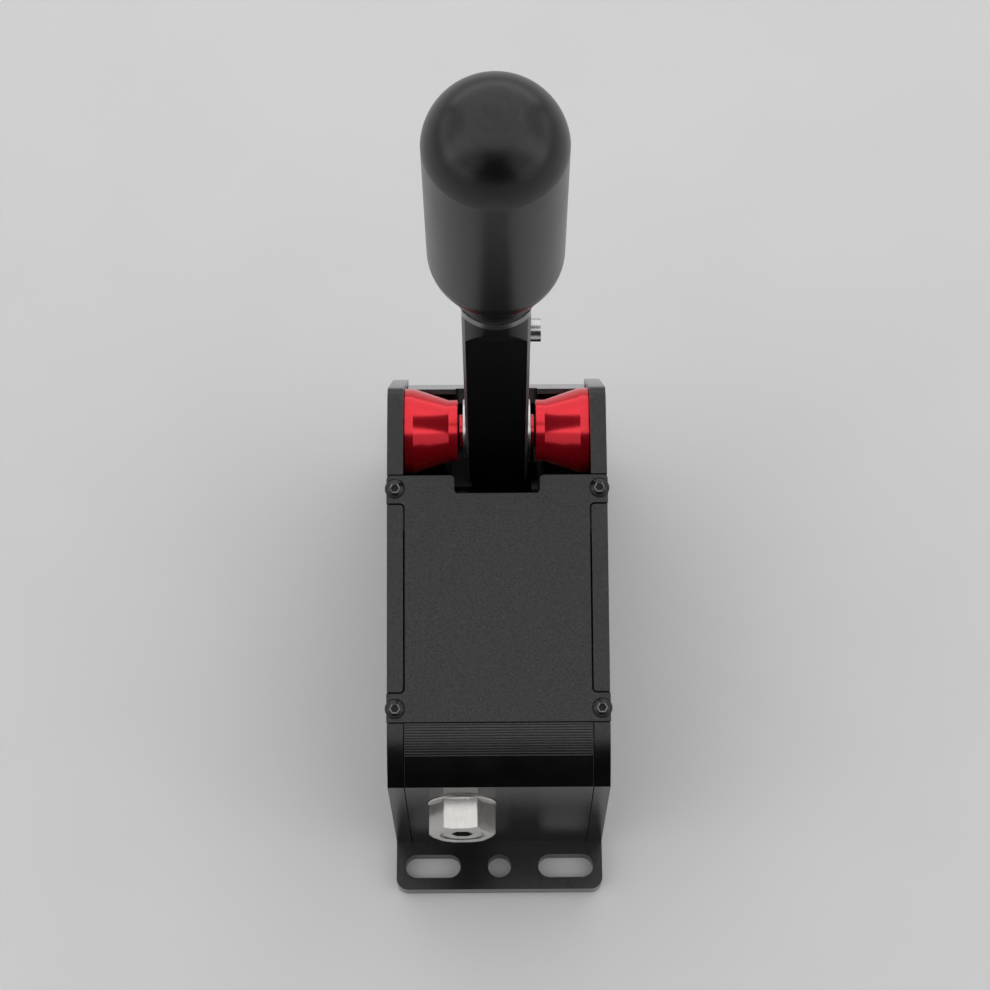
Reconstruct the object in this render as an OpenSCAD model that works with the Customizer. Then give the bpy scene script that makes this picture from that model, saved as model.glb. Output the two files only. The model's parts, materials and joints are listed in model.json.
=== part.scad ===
// Sequential gear shifter for a racing rig.
// The front faces -Y, +Z is up, and the origin is the middle of the base plate's underside.
// All sizes are in millimetres. Profiles of the box are drawn in the side view as [y, z].

/* [Base plate] */
// Width of the base plate and of the body on it
body_w = 62; // [58:0.5:70]
// Length of the base plate
base_len = 158; // [154:1:176]
// Thickness of the base plate
base_t = 5; // [4:0.5:8]
// Corner radius of the base plate
base_corner = 3.6; // [2:0.2:5]
// Width of the fixing slots and diameter of the centre holes
slot_w = 7; // [5:0.1:8]
// Length of the fixing slots, end to end
slot_len = 16.6; // [10:0.2:17]
// Distance between the two slots of one flange, centre to centre
slot_spacing = 40; // [36:0.5:42]
// Distance from the end of the base plate to the slot centres
slot_edge = 7.1; // [6:0.1:8.5]

/* [Body] */
// Length of the body between the outer faces of its front and rear walls
body_len = 128.5; // [124:0.5:132]
// Thickness of each side plate
plate_t = 4.5; // [4:0.1:6]
// Height of the crease where the front wall meets the brow
crease_z = 69; // [63:0.5:70]
// Thickness of the nose housing's front wall
wall_t = 6; // [5:0.1:8]
// Thickness of the lip that carries the front edge of the top cover
lip_t = 4; // [3:0.1:6]
// Length of that lip under the cover
lip_len = 6; // [4:0.1:10]
// Gap between the nose housing and each side plate
nose_gap = 0.3; // [0.1:0.05:0.6]
// Number of fine grooves across the brow
rib_count = 12; // [4:1:14]
// Distance from groove to groove
rib_pitch = 0.76; // [0.6:0.02:1]
// Width of a groove
rib_groove_w = 0.36; // [0.2:0.02:0.5]
// Depth of a groove
rib_groove_d = 0.35; // [0.1:0.05:0.6]

/* [Covers] */
// Distance from the front wall back to the front edge of the top cover
cover_setback = 16.3; // [14:0.1:19]
// Height of the top cover's front edge
cover_z = 77.7; // [75:0.1:82]
// Slope of the top cover in degrees
cover_slope = 12.8; // [10:0.1:15]
// Distance from the pivot axis forward to the rear edge of the top cover
cover_back = 19.6; // [18:0.1:22]
// Overhang of the cover's ears past the outer face of each side plate
cover_over = 0.15; // [0:0.05:0.5]
// Thickness of the top cover
cover_t = 2; // [1.5:0.1:3]
// Length of the ears at the cover's four corners
ear_len = 8; // [7:0.1:10]
// Gap between the cover and the raised strips of the side plates
strip_gap = 0.45; // [0.3:0.05:0.8]
// Inner corner radius of the cover's side cut-outs
cut_corner = 1.4; // [0.6:0.1:2]
// Width of the lever notch in the covers
notch_w = 24; // [22:0.5:28]
// Depth of the lever notch in the top cover
notch_depth = 5.1; // [3:0.1:8]
// Corner radius at the bottom of the lever notch
notch_corner = 1; // [0.4:0.1:2]
// Distance from the cover's ends to its screws
cover_screw_edge = 3.8; // [3:0.1:5]
// Thickness of the rear cover
rear_t = 4.5; // [3.5:0.1:6]
// Depth by which the rear cover lies under the side plates' edges
rear_recess = 1.6; // [0.5:0.1:2]
// Thickness of the rear cover's top edge, which is coved round the cones
rear_edge_t = 1.4; // [1:0.1:2]
// Slope of the body's rear edge in degrees
rear_slope = 62; // [58:0.5:66]

/* [Pivot] */
// Distance from the rear wall forward to the pivot axis
pivot_setback = 24.95; // [23:0.05:27]
// Height of the pivot axis
pivot_z = 79; // [76:0.1:81]
// Distance from the pivot axis back to the peak of the lugs
lug_back = 5.7; // [4.5:0.1:8]
// Height of the lugs' peak over the pivot axis
lug_rise = 17.4; // [16.5:0.1:20]
// Radius of the rounding at the lugs' peak
lug_round = 6; // [4:0.5:8]
// Diameter of the pivot axle
axle_d = 8; // [6:0.1:9]
// Depth of the axle's seat in each side plate
axle_seat = 1.5; // [1:0.1:2]
// Diameter of the cone spacers at the side plates
cone_big_d = 24.5; // [22:0.1:25]
// Diameter of the cone spacers beside the lever
cone_small_d = 17.9; // [14:0.1:20]
// Width of the straight ring at each end of a cone
cone_ring_w = 2.6; // [1.5:0.1:4]
// Diameter of the cone's nose
cone_nose_d = 9.7; // [9.5:0.1:12]
// Length of the cone's nose
cone_nose_len = 1.4; // [0.8:0.1:2]
// Diameter of the thrust washers
washer_d = 18.2; // [16:0.1:20]
// Thickness of the thrust washers
washer_t = 0.9; // [0.6:0.1:1.5]
// Outer diameter of the pivot bearings
bearing_d = 14; // [12:0.1:15]
// Width of the pivot bearings
bearing_w = 4; // [3:0.1:5]

/* [Lever and knob] */
// Diameter of the round bar that the lever is milled from
stock_d = 24; // [22:0.5:26]
// Width of the lever between its side flats
lever_w = 17.6; // [16:0.1:19]
// Depth of the lever between its front and rear flats
lever_depth = 17.8; // [16:0.1:19]
// Height of the lever's head over the pivot axis
lever_rise = 93; // [80:0.5:110]
// Distance from the lever's head down to the end of the front and rear flats
flat_drop = 14.2; // [10:0.1:20]
// Angle at which those flats run out
runout_angle = 16.9; // [12:0.1:30]
// Chamfer round the top of the head
head_chamfer = 0.8; // [0.3:0.1:1.5]
// Distance from the pivot axis down to the end of the wide part of the lever
lever_drop = 17; // [15:0.1:18]
// Depth of the lever's lower tongue, front to back
tongue_depth = 14; // [12:0.1:15]
// Distance from the pivot axis down to the link pin
link_arm = 27.3; // [27:0.1:30]
// Swing of the lever each way in degrees
lever_swing = 8; // [5:0.5:9]
// Diameter of the knob
knob_d = 34.1; // [28:0.1:40]
// Length of the knob up to the rim of its dome
knob_len = 70.5; // [60:0.5:90]
// Height of the knob's dome
dome_h = 15.4; // [8:0.1:16]
// Height on the knob where its lower end begins to draw in
knob_shoulder = 20.3; // [17:0.1:24]
// Radius of the knob's drawn-in lower end
knob_round = 15; // [13:0.1:16]
// Diameter of the knob's neck where the rounding ends
knob_neck_d = 24; // [22:0.1:26]
// Diameter of the knob's foot on the lever's head
knob_foot_d = 21.4; // [18:0.1:22]
// Diameter of the stud that joins knob and lever
stud_d = 10; // [8:0.1:10]
// Length of the stud in the lever
stud_in = 34; // [30:0.5:40]
// Length of the stud in the knob
stud_out = 30; // [20:0.5:50]
// Distance from the lever's head down to the side screw
lock_drop = 26; // [20:0.1:30]
// Diameter of the side screw's head
lock_head_d = 6.2; // [5:0.1:7]
// Height of the side screw's head
lock_head_h = 3; // [2:0.1:4]

/* [Adjuster and springs] */
// Distance of the adjuster's axis to the left of the middle
adjuster_side = 10.5; // [10:0.1:11.5]
// Diameter of the adjuster's hole in the front wall
adjuster_hole_d = 20; // [19.5:0.1:22]
// Width of the adjuster across its flats
hex_af = 16.5; // [14:0.1:17]
// Distance that the adjuster stands out from the front wall
hex_reach = 9.4; // [5:0.1:12]
// Diameter of the flange behind the front wall
adjuster_flange_d = 24; // [23:0.1:26]
// Diameter of the adjuster's screw
screw_d = 10; // [8:0.1:11]
// Diameter of the lock screw in the adjuster's end
lock_screw_d = 11; // [9:0.1:12]
// Length of the lock screw
lock_screw_len = 7; // [5:0.1:10]
// Travel of the spring seat each way
seat_travel = 3; // [1:0.1:4]
// Diameter of the spring seat and of the collar on the rod
seat_d = 20; // [19:0.1:22]
// Thickness of the spring seat
seat_t = 8; // [6:0.1:10]
// Thickness of the collar on the rod
collar_t = 5; // [4:0.1:8]
// Diameter of the centring rod
rod_d = 8; // [6:0.1:9]
// Distance from the rod's axis down to the guide rod
guide_drop = 15.5; // [15:0.1:17]
// Diameter of the guide rod
guide_d = 5; // [4:0.1:6]
// Diameter of the link pin
link_pin_d = 6; // [5:0.1:7]
// Thickness of the rod's eye
eye_t = 6; // [5:0.1:6.5]
// Thickness of the guide block
block_t = 10; // [8:0.1:12]
// Mean diameter of the springs
spring_d = 15; // [14:0.1:16]
// Diameter of the spring wire
wire_d = 2.2; // [1.6:0.1:2.4]
// Number of turns in each spring
spring_turns = 5; // [4:1:6]

/* [Electronics] */
// Distance from the right side plate to the near face of the sensor board
board_off = 14.5; // [13.5:0.1:14.7]
// Thickness of the sensor board
board_t = 1.6; // [1:0.1:2]
// Length of the sensor board
board_len = 30; // [28:0.5:31]
// Height of the sensor board
board_h = 44; // [42:0.5:45]
// Height of the board's lower edge over the base plate
board_lift = 12; // [8:0.5:13]
// Width of the data socket
socket_w = 13.2; // [12:0.1:14]
// Height of the data socket from the board
socket_h = 11.5; // [10.5:0.1:12]
// Depth of the data socket
socket_len = 18; // [15:0.1:20]
// Width of the opening in the data socket
mouth_w = 9.8; // [9:0.1:10.5]
// Height of the opening in the data socket
mouth_h = 6.8; // [6:0.1:7.5]
// Depth of the opening in the data socket
mouth_len = 12; // [10:0.1:14]

/* [Fits] */
// Radial clearance of pins and shafts that turn or slide
run_fit = 0.05; // [0.02:0.01:0.08]
// End clearance between turning faces
end_gap = 0.1; // [0.05:0.01:0.3]
// Clearance between pieces of different bodies that pass each other
side_gap = 0.3; // [0.2:0.05:0.5]
// Radial clearance of screws and pins that stay put
seat_fit = 0.03; // [0.01:0.01:0.1]

/* [Hidden] */
$fn = 72;

// A length that is longer than any piece, for cuts
past = 200;

// The box in the side view
inner_x = body_w / 2 - plate_t;
front_y = -body_len / 2;
rear_y = body_len / 2;
wall_in_y = front_y + wall_t;
pivot_y = rear_y - pivot_setback;
pivot = [pivot_y, pivot_z];
crease = [front_y, crease_z];
cover_start = [front_y + cover_setback, cover_z];
cover_along = [cos(cover_slope), sin(cover_slope)];
cover_up = [-sin(cover_slope), cos(cover_slope)];
cover_w = body_w + 2 * cover_over;
cover_len = (pivot_y - cover_back - cover_start.x) / cos(cover_slope);
cover_end = cover_start + cover_len * cover_along;
lug_peak = pivot + [lug_back, lug_rise];

// The brow is one arc from the crease to the cover, in line with the cover where they meet
brow_chord = crease - cover_start;
brow_turn = acos(-(cover_along * brow_chord) / norm(brow_chord));
brow_r = norm(brow_chord) / (2 * sin(brow_turn));
brow_centre = cover_start - brow_r * cover_up;
rib_step = rib_pitch / brow_r * 180 / PI;

// The rear slope, by distance down it from the lugs' peak and by depth under it
slope_along = [cos(rear_slope), -sin(rear_slope)];
slope_in = [-sin(rear_slope), -cos(rear_slope)];
function slope_point(along, deep) = lug_peak + along * slope_along + deep * slope_in;
function knee_along(deep) = (rear_y - deep - lug_peak.x + deep * sin(rear_slope)) / cos(rear_slope);
function slope_y(z, deep) = lug_peak.x + (lug_peak.y - z) / tan(rear_slope) - deep / sin(rear_slope);
rear_in = rear_recess + rear_t;
rear_in_y = rear_y - rear_in;
cone_clear = 0.6;
pivot_along = (pivot - lug_peak) * slope_along;
pivot_deep = (pivot - lug_peak) * slope_in;
cove_r = cone_big_d / 2 + cone_clear;
rear_top = pivot_along + sqrt(pow(cove_r, 2) - pow(pivot_deep - rear_recess - rear_edge_t, 2));
rear_notch = 3.5;

// The lugs' rounding: its circle is a touch large, so that it crosses both edges instead of touching them
lug_top = (lug_peak - cover_end) / norm(lug_peak - cover_end);
lug_turn = acos(lug_top * slope_along);
lug_side = [-lug_top.y, lug_top.x];
lug_centre = lug_peak - lug_round * (tan(lug_turn / 2) * lug_top + lug_side);
lug_circle = 1.004 * lug_round;

// Screws: diameters of head and shank, length, and the width of the socket across its flats
sunk_head = 4.4;
sunk_shank = 2.5;
sunk_len = 10;
sunk_socket = 1.5;
base_screw_grip = 7;
base_screw_len = base_t + base_screw_grip;
base_screw_in = 1.9;
base_screw_end = 14;
m3_shank = 3;
m3_len = 10;
m3_socket = 2;
m4_head = 8;
m4_shank = 4;
m4_len = 12;
m4_socket = 2.5;
button_head = 5.7;
button_rise = 1.65;
socket_depth = 1.1;

// The lever, its link and the centring rod
link_z = pivot_z - link_arm;
link = [pivot_y, link_z];
rod_x = -adjuster_side;
rod_stroke = link_arm * sin(lever_swing);
tongue_w = 2 * (adjuster_side - eye_t / 2 - side_gap);
head_z = pivot_z + lever_rise;
eye_r = 7.5;
eye_reach = 9.5;
eye_play = 1.2;
clip_d = 10;
clip_t = 0.8;
pin_end = 0.8;

// Places along the rod, front to rear
stop_clear = 1;
flange_t = 3;
hex_inset = 0.6;
flange_y = wall_in_y + end_gap;
screw_y = flange_y + flange_t;
seat_y = screw_y + seat_travel + stop_clear;
screw_end_y = seat_y + seat_t + seat_travel + stop_clear;
block_rear_y = pivot_y - eye_reach - rod_stroke - 1.5 * stop_clear;
block_y = block_rear_y - block_t;
bush_wall = 1.5;
bush_flange = 1.5;
bush_y = block_y - bush_flange;
collar_y = (seat_y + seat_t + bush_y - collar_t) / 2;
rod_y = screw_end_y + rod_stroke + stop_clear;
guide_z = link_z - guide_drop;
guide_seat = 3;
block_floor = 3.5;
block_low = guide_z - guide_d / 2 - block_floor;
block_rise = 11;
block_high = link_z + block_rise;
stop_x = 1;
stop_d = 9;

// The board, its stand-offs and the socket
board_x = inner_x - board_off;
board_z = base_t + board_lift;
board_rear_y = min(rear_in_y, slope_y(board_z + board_h, rear_in)) - 2 * side_gap;
board_y = board_rear_y - board_len;
board_edge = 3.6;
standoff_af = 5;
socket_lift = 2;
socket_z = board_z + socket_lift + socket_w / 2;
magnet_d = 5;
magnet_t = 3;
magnet_proud = 0.5;
magnet_drop = 3.5;
magnet_z = pivot_z - lever_drop - magnet_drop;
standoffs = [
    [board_y + board_edge, board_z + board_edge],
    [board_y + board_edge, board_z + board_h - board_edge],
    [board_rear_y - board_edge, board_z + board_h - board_edge],
    [board_rear_y - board_edge, socket_z + socket_w / 2 + board_edge]
];

// Side screws by the piece that they hold, in the side view
nose_screw_low = 13;
nose_screw_drop = 11;
block_screw_edge = 6;
rear_screw_low = 8;
rear_screw_high = 44;
rear_screw_edge = 9;
side_places = [
    [front_y + wall_t / 2, base_t + nose_screw_low],
    [front_y + wall_t / 2, crease_z - nose_screw_drop],
    [block_y + block_t / 2, block_low + block_screw_edge],
    [block_y + block_t / 2, block_high - block_screw_edge],
    [rear_in_y + rear_t / 2, base_t + rear_screw_low],
    [rear_in_y + rear_t / 2, base_t + rear_screw_high],
    slope_point(rear_top + rear_screw_edge, rear_recess + rear_t / 2)
];
base_screw_y = [front_y + base_screw_end, 0, rear_y - base_screw_end];

// Colours of the finishes
black_anodised = [0.07, 0.07, 0.075];
red_anodised = [0.72, 0.03, 0.07];
bright_steel = [0.78, 0.77, 0.75];
black_steel = [0.2, 0.2, 0.21];
bronze = [0.66, 0.49, 0.28];

// Helpers

// Extrude a side-view profile across the body
module across(x0, x1) {
    translate([x0, 0, 0])
        rotate([90, 0, 90])
            linear_extrude(x1 - x0)
                children();
}

// Round bar along X at a side-view place
module bar_x(at, d, x0, x1) {
    translate([x0, at.x, at.y])
        rotate([0, 90, 0])
            cylinder(h = x1 - x0, d = d);
}

// Round bar along Y
module bar_y(x, z, d, y0, y1) {
    translate([x, y0, z])
        rotate([-90, 0, 0])
            cylinder(h = y1 - y0, d = d);
}

// Rectangle with round corners, centred
module round_rect(w, l, r) {
    square([w - 2 * r, l], center = true);
    square([w, l - 2 * r], center = true);
    for (x = [-1, 1], y = [-1, 1])
        translate([x * (w / 2 - r), y * (l / 2 - r)])
            circle(r);
}

// Straight slot along X, centred
module slot(l, w) {
    square([l - w, w], center = true);
    for (s = [-1, 1])
        translate([s * (l - w) / 2, 0])
            circle(d = w);
}

// Hexagonal prism by its width across the flats
module hex_prism(af, h) {
    cylinder(h = h, d = af / cos(30), $fn = 6);
}

// Countersunk screw pointing down, its head's top at the origin
module sunk_screw(head, shank, len, socket) {
    sink = (head - shank) / 2;
    difference() {
        union() {
            translate([0, 0, -sink])
                cylinder(h = sink, d1 = shank, d2 = head);
            translate([0, 0, -len])
                cylinder(h = len - sink, d = shank);
        }
        translate([0, 0, -socket_depth])
            hex_prism(socket, socket_depth + 1);
    }
}

// Countersunk hole for that screw
module sunk_hole(head, shank, len) {
    sink = (head - shank) / 2;
    translate([0, 0, -sink - seat_fit])
        cylinder(h = sink, d1 = shank + 2 * seat_fit, d2 = head + 2 * seat_fit);
    translate([0, 0, -seat_fit - 0.01])
        cylinder(h = 1, d = head + 2 * seat_fit);
    translate([0, 0, -len - 1])
        cylinder(h = len + 1 - sink, d = shank + 2 * seat_fit);
}

// Screw places on one side plate, pointing into the body; side is 1 on the right and -1 on the left
module on_side(side) {
    for (place = side_places)
        translate([side * body_w / 2, place.x, place.y])
            rotate([0, side * 90, 0])
                children();
}

// Screw places under one side plate
module under_side(side) {
    for (y = base_screw_y)
        translate([side * (inner_x + base_screw_in), y, 0])
            rotate([180, 0, 0])
                children();
}

// Frame of the top cover: Y runs up its slope and Z stands on its outer face
module on_cover() {
    translate([0, cover_start.x, cover_start.y])
        rotate([cover_slope, 0, 0])
            children();
}

// Screw places of the top cover on one side
module on_ears(side) {
    on_cover()
        for (y = [cover_screw_edge, cover_len - cover_screw_edge])
            translate([side * (body_w - plate_t) / 2, y, 0])
                children();
}

// The same frame in the side view
module along_cover() {
    translate(cover_start)
        rotate(cover_slope)
            children();
}

// Outline of the body in the side view, with the round brow and the round lugs
module body_outline() {
    corner = [front_y, cover_z - cover_setback * tan(cover_slope)];
    start = brow_centre - side_gap / 2 * cover_along;
    difference() {
        polygon([
            [front_y, base_t], corner, cover_end, lug_peak, slope_point(knee_along(0), 0), [rear_y, base_t]
        ]);
        difference() {
            polygon([
                start, [front_y - 1, brow_centre.y], [front_y - 1, cover_z + brow_r],
                start + 2 * brow_r * cover_up
            ]);
            translate(brow_centre)
                circle(brow_r, $fn = 144);
        }
        difference() {
            polygon([
                lug_centre, lug_centre + 2 * lug_round * lug_side,
                lug_centre + 2 * lug_round * (lug_side - slope_in), lug_centre - 2 * lug_round * slope_in
            ]);
            translate(lug_centre)
                circle(lug_circle);
        }
    }
}

// Frame

module base_plate() {
    slot_y = base_len / 2 - slot_edge;
    color(black_anodised)
        difference() {
            linear_extrude(base_t)
                difference() {
                    round_rect(body_w, base_len, base_corner);
                    for (y = [-slot_y, slot_y]) {
                        for (x = [-slot_spacing / 2, slot_spacing / 2])
                            translate([x, y])
                                slot(slot_len, slot_w);
                        translate([0, y])
                            circle(d = slot_w);
                    }
                }
            for (side = [-1, 1])
                under_side(side)
                    sunk_hole(sunk_head, sunk_shank, base_screw_len);
        }
}

// Side plate outline, cut down under the ears of the cover
module side_outline() {
    recess = ear_len + strip_gap + side_gap;
    difference() {
        body_outline();
        along_cover()
            for (start = [-side_gap, cover_len - ear_len - strip_gap])
                translate([start, -cover_t])
                    square([recess, past]);
    }
}

// Waste at the two inner corners of a side plate's raised strip, in the cover's plan
module strip_corners(side) {
    r = cut_corner - strip_gap;
    for (end = [[ear_len + strip_gap, 1], [cover_len - ear_len - strip_gap, -1]])
        translate([side * inner_x, end[0]])
            difference() {
                square(2 * r, center = true);
                translate([side * r, end[1] * r])
                    circle(r);
            }
}

module side_plate(side) {
    color(black_anodised)
        difference() {
            across(side < 0 ? -body_w / 2 : inner_x, side < 0 ? -inner_x : body_w / 2)
                side_outline();
            on_cover()
                translate([0, 0, -cover_t])
                    linear_extrude(cover_t + 1)
                        strip_corners(side);
            on_side(side)
                sunk_hole(sunk_head, sunk_shank, sunk_len);
            under_side(side)
                sunk_hole(sunk_head, sunk_shank, base_screw_len);
            on_ears(side)
                translate([0, 0, -m3_len - 1])
                    cylinder(h = m3_len + 1, d = m3_shank + 2 * seat_fit);
            translate([side * body_w / 2, pivot_y, pivot_z])
                rotate([0, side * 90, 0])
                    sunk_hole(m4_head, m4_shank, m4_len);
            bar_x(pivot, axle_d + 2 * seat_fit, -inner_x - axle_seat, inner_x + axle_seat);
        }
}

module left_side_plate() {
    side_plate(-1);
}

module right_side_plate() {
    side_plate(1);
}

// Side view of the nose housing: front wall, brow with its grooves, and the lip under the cover
module nose_outline() {
    roof = cover_t + lip_t;
    under_lip = cover_start - roof * cover_up;
    far_lip = under_lip + cover_len * cover_along;
    difference() {
        intersection() {
            body_outline();
            along_cover()
                translate([-past, -past])
                    square([past + lip_len, 2 * past]);
        }
        polygon([
            [wall_in_y, -base_t], [wall_in_y, crease_z - lip_t], under_lip, far_lip, [far_lip.x, -base_t]
        ]);
        along_cover()
            translate([-side_gap, -cover_t])
                square([past, past]);
        for (i = [0 : rib_count - 1])
            translate(brow_centre)
                rotate(90 + cover_slope + (i + 1) * rib_step)
                    translate([brow_r - rib_groove_d, -rib_groove_w / 2])
                        square([rib_groove_d + 1, rib_groove_w]);
    }
}

module nose_housing() {
    half = inner_x - nose_gap;
    color(black_anodised)
        difference() {
            across(-half, half)
                nose_outline();
            bar_y(rod_x, link_z, adjuster_hole_d, front_y - 1, wall_in_y + 1);
            bar_y(rod_x, guide_z, guide_d + 2 * seat_fit, wall_in_y - guide_seat, wall_in_y + 1);
            for (side = [-1, 1])
                on_side(side)
                    sunk_hole(sunk_head, sunk_shank, sunk_len);
        }
}

// Plan of the top cover: ears at the corners, cut-outs at the sides and the lever notch
module cover_plan() {
    cut_w = cover_w;
    cut_len = cover_len - 2 * ear_len;
    difference() {
        translate([-cover_w / 2, 0])
            square([cover_w, cover_len]);
        for (side = [-1, 1])
            translate([side * (inner_x - strip_gap + cut_w / 2), cover_len / 2])
                round_rect(cut_w, cut_len, cut_corner);
        translate([0, cover_len])
            round_rect(notch_w, 2 * notch_depth, notch_corner);
    }
}

module top_cover() {
    color(black_anodised)
        difference() {
            on_cover()
                translate([0, 0, -cover_t])
                    linear_extrude(cover_t)
                        cover_plan();
            for (side = [-1, 1])
                on_ears(side)
                    translate([0, 0, -cover_t - 1])
                        cylinder(h = cover_t + 2, d = m3_shank + 2 * side_gap);
        }
}

// Side view of the rear cover: the lower part of the slope and the rear wall
module rear_outline() {
    polygon([
        slope_point(rear_top, rear_recess),
        slope_point(knee_along(rear_recess), rear_recess),
        [rear_y - rear_recess, base_t],
        [rear_in_y, base_t],
        slope_point(knee_along(rear_in), rear_in),
        slope_point(rear_top, rear_in)
    ]);
}

module rear_cover() {
    half = inner_x - nose_gap;
    window_h = socket_h + 2 * side_gap;
    window_w = socket_w + 2 * side_gap;
    color(black_anodised)
        difference() {
            across(-half, half)
                rear_outline();
            translate([0, lug_peak.x, lug_peak.y])
                rotate([-rear_slope, 0, 0])
                    translate([0, rear_top, -past / 2])
                        linear_extrude(past)
                            round_rect(notch_w, 2 * rear_notch, notch_corner);
            bar_x(pivot, 2 * cove_r, -inner_x, inner_x);
            translate([board_x + board_t - side_gap, rear_in_y - 1, socket_z - window_w / 2])
                cube([window_h, rear_t + 2, window_w]);
            for (side = [-1, 1])
                on_side(side)
                    sunk_hole(sunk_head, sunk_shank, sunk_len);
        }
}

// Button-head screw pointing down, its head resting on the origin
module button_screw() {
    dome_r = (pow(button_head / 2, 2) + pow(button_rise, 2)) / (2 * button_rise);
    difference() {
        union() {
            rotate_extrude()
                intersection() {
                    translate([0, button_rise - dome_r])
                        circle(dome_r);
                    square([button_head / 2, button_rise]);
                }
            translate([0, 0, -m3_len])
                cylinder(h = m3_len + 0.1, d = m3_shank);
        }
        translate([0, 0, button_rise - socket_depth])
            hex_prism(m3_socket, socket_depth + 1);
    }
}

module cover_screws() {
    color(black_steel)
        for (side = [-1, 1])
            on_ears(side)
                button_screw();
}

module side_screws() {
    color(black_steel)
        for (side = [-1, 1])
            on_side(side)
                sunk_screw(sunk_head, sunk_shank, sunk_len, sunk_socket);
}

module base_screws() {
    color(black_steel)
        for (side = [-1, 1])
            under_side(side)
                sunk_screw(sunk_head, sunk_shank, base_screw_len, sunk_socket);
}

// Pivot

module pivot_axle() {
    color(bright_steel)
        difference() {
            bar_x(pivot, axle_d, -inner_x - axle_seat, inner_x + axle_seat);
            for (side = [-1, 1])
                translate([side * body_w / 2, pivot_y, pivot_z])
                    rotate([0, side * 90, 0])
                        sunk_hole(m4_head, m4_shank, m4_len);
        }
}

module axle_screws() {
    color(black_steel)
        for (side = [-1, 1])
            translate([side * body_w / 2, pivot_y, pivot_z])
                rotate([0, side * 90, 0])
                    sunk_screw(m4_head, m4_shank, m4_len, m4_socket);
}

// Cone spacer on the axle, from its nose beside the washer out to the side plate
module pivot_cone(side) {
    bore_r = axle_d / 2 + seat_fit;
    nose_x = lever_w / 2 + washer_t + end_gap;
    ring_x = nose_x + cone_nose_len;
    color(red_anodised)
        translate([0, pivot_y, pivot_z])
            rotate([0, side * 90, 0])
                rotate_extrude()
                    polygon([
                        [bore_r, nose_x], [cone_nose_d / 2, nose_x], [cone_nose_d / 2, ring_x],
                        [cone_small_d / 2, ring_x], [cone_small_d / 2, ring_x + cone_ring_w],
                        [cone_big_d / 2, inner_x - cone_ring_w], [cone_big_d / 2, inner_x],
                        [bore_r, inner_x]
                    ]);
}

module left_pivot_cone() {
    pivot_cone(-1);
}

module right_pivot_cone() {
    pivot_cone(1);
}

// Bearing pair in the lever, each a ring with a shield set in its outer face
module pivot_bearings() {
    shield_d = axle_d + (bearing_d - axle_d) * 0.35;
    shield_end_d = axle_d + (bearing_d - axle_d) * 0.75;
    shield_in = 0.3;
    color(bright_steel)
        for (side = [-1, 1])
            translate([0, pivot_y, pivot_z])
                rotate([0, side * 90, 0])
                    translate([0, 0, lever_w / 2 - bearing_w])
                        difference() {
                            cylinder(h = bearing_w, d = bearing_d);
                            translate([0, 0, -1])
                                cylinder(h = bearing_w + 2, d = axle_d + 2 * run_fit);
                            translate([0, 0, bearing_w - shield_in])
                                difference() {
                                    cylinder(h = 1, d = shield_end_d);
                                    cylinder(h = 1, d = shield_d);
                                }
                        }
}

module thrust_washers() {
    color([0.9, 0.9, 0.88])
        for (side = [-1, 1])
            translate([side * (lever_w + washer_t) / 2, pivot_y, pivot_z])
                rotate([0, 90, 0])
                    difference() {
                        cylinder(h = washer_t, d = washer_d, center = true);
                        cylinder(h = 2 * washer_t, d = axle_d + 2 * run_fit, center = true);
                    }
}

// Lever

// Cut that leaves the front or rear flat of the lever and runs out under its head
module flat_cut(side) {
    flat_y = side * lever_depth / 2;
    far_y = side * stock_d;
    flat_z = head_z - flat_drop;
    across(-stock_d, stock_d)
        translate([pivot_y, 0])
            polygon([
                [flat_y, 0], [flat_y, flat_z],
                [far_y, flat_z + abs(far_y - flat_y) / tan(runout_angle)], [far_y, 0]
            ]);
}

module lever_arm() {
    wide_z = pivot_z - lever_drop;
    color(black_anodised)
        difference() {
            union() {
                difference() {
                    translate([0, pivot_y, 0])
                        intersection() {
                            rotate_extrude()
                                polygon([
                                    [0, wide_z], [stock_d / 2, wide_z], [stock_d / 2, head_z - head_chamfer],
                                    [stock_d / 2 - head_chamfer, head_z], [0, head_z]
                                ]);
                            translate([-lever_w / 2, -stock_d, 0])
                                cube([lever_w, 2 * stock_d, head_z + 1]);
                        }
                    for (side = [-1, 1])
                        flat_cut(side);
                }
                across(-tongue_w / 2, tongue_w / 2) {
                    translate(link)
                        circle(d = tongue_depth);
                    translate([pivot_y - tongue_depth / 2, link_z])
                        square([tongue_depth, wide_z - link_z + 1]);
                }
            }
            bar_x(pivot, axle_d + 4 * side_gap, -lever_w, lever_w);
            for (side = [-1, 1])
                translate([side * (lever_w - bearing_w) / 2, pivot_y, pivot_z])
                    rotate([0, 90, 0])
                        cylinder(h = bearing_w + 0.02, d = bearing_d + 2 * seat_fit, center = true);
            bar_x(link, link_pin_d + 2 * seat_fit, -lever_w, lever_w);
            bar_x([pivot_y, magnet_z], magnet_d + 2 * seat_fit, tongue_w / 2 - magnet_t + magnet_proud, lever_w);
            translate([0, pivot_y, head_z - stud_in])
                cylinder(h = stud_in + 1, d = stud_d + 2 * seat_fit);
            bar_x([pivot_y, head_z - lock_drop], m3_shank + 2 * seat_fit, 0, lever_w);
        }
}

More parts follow.
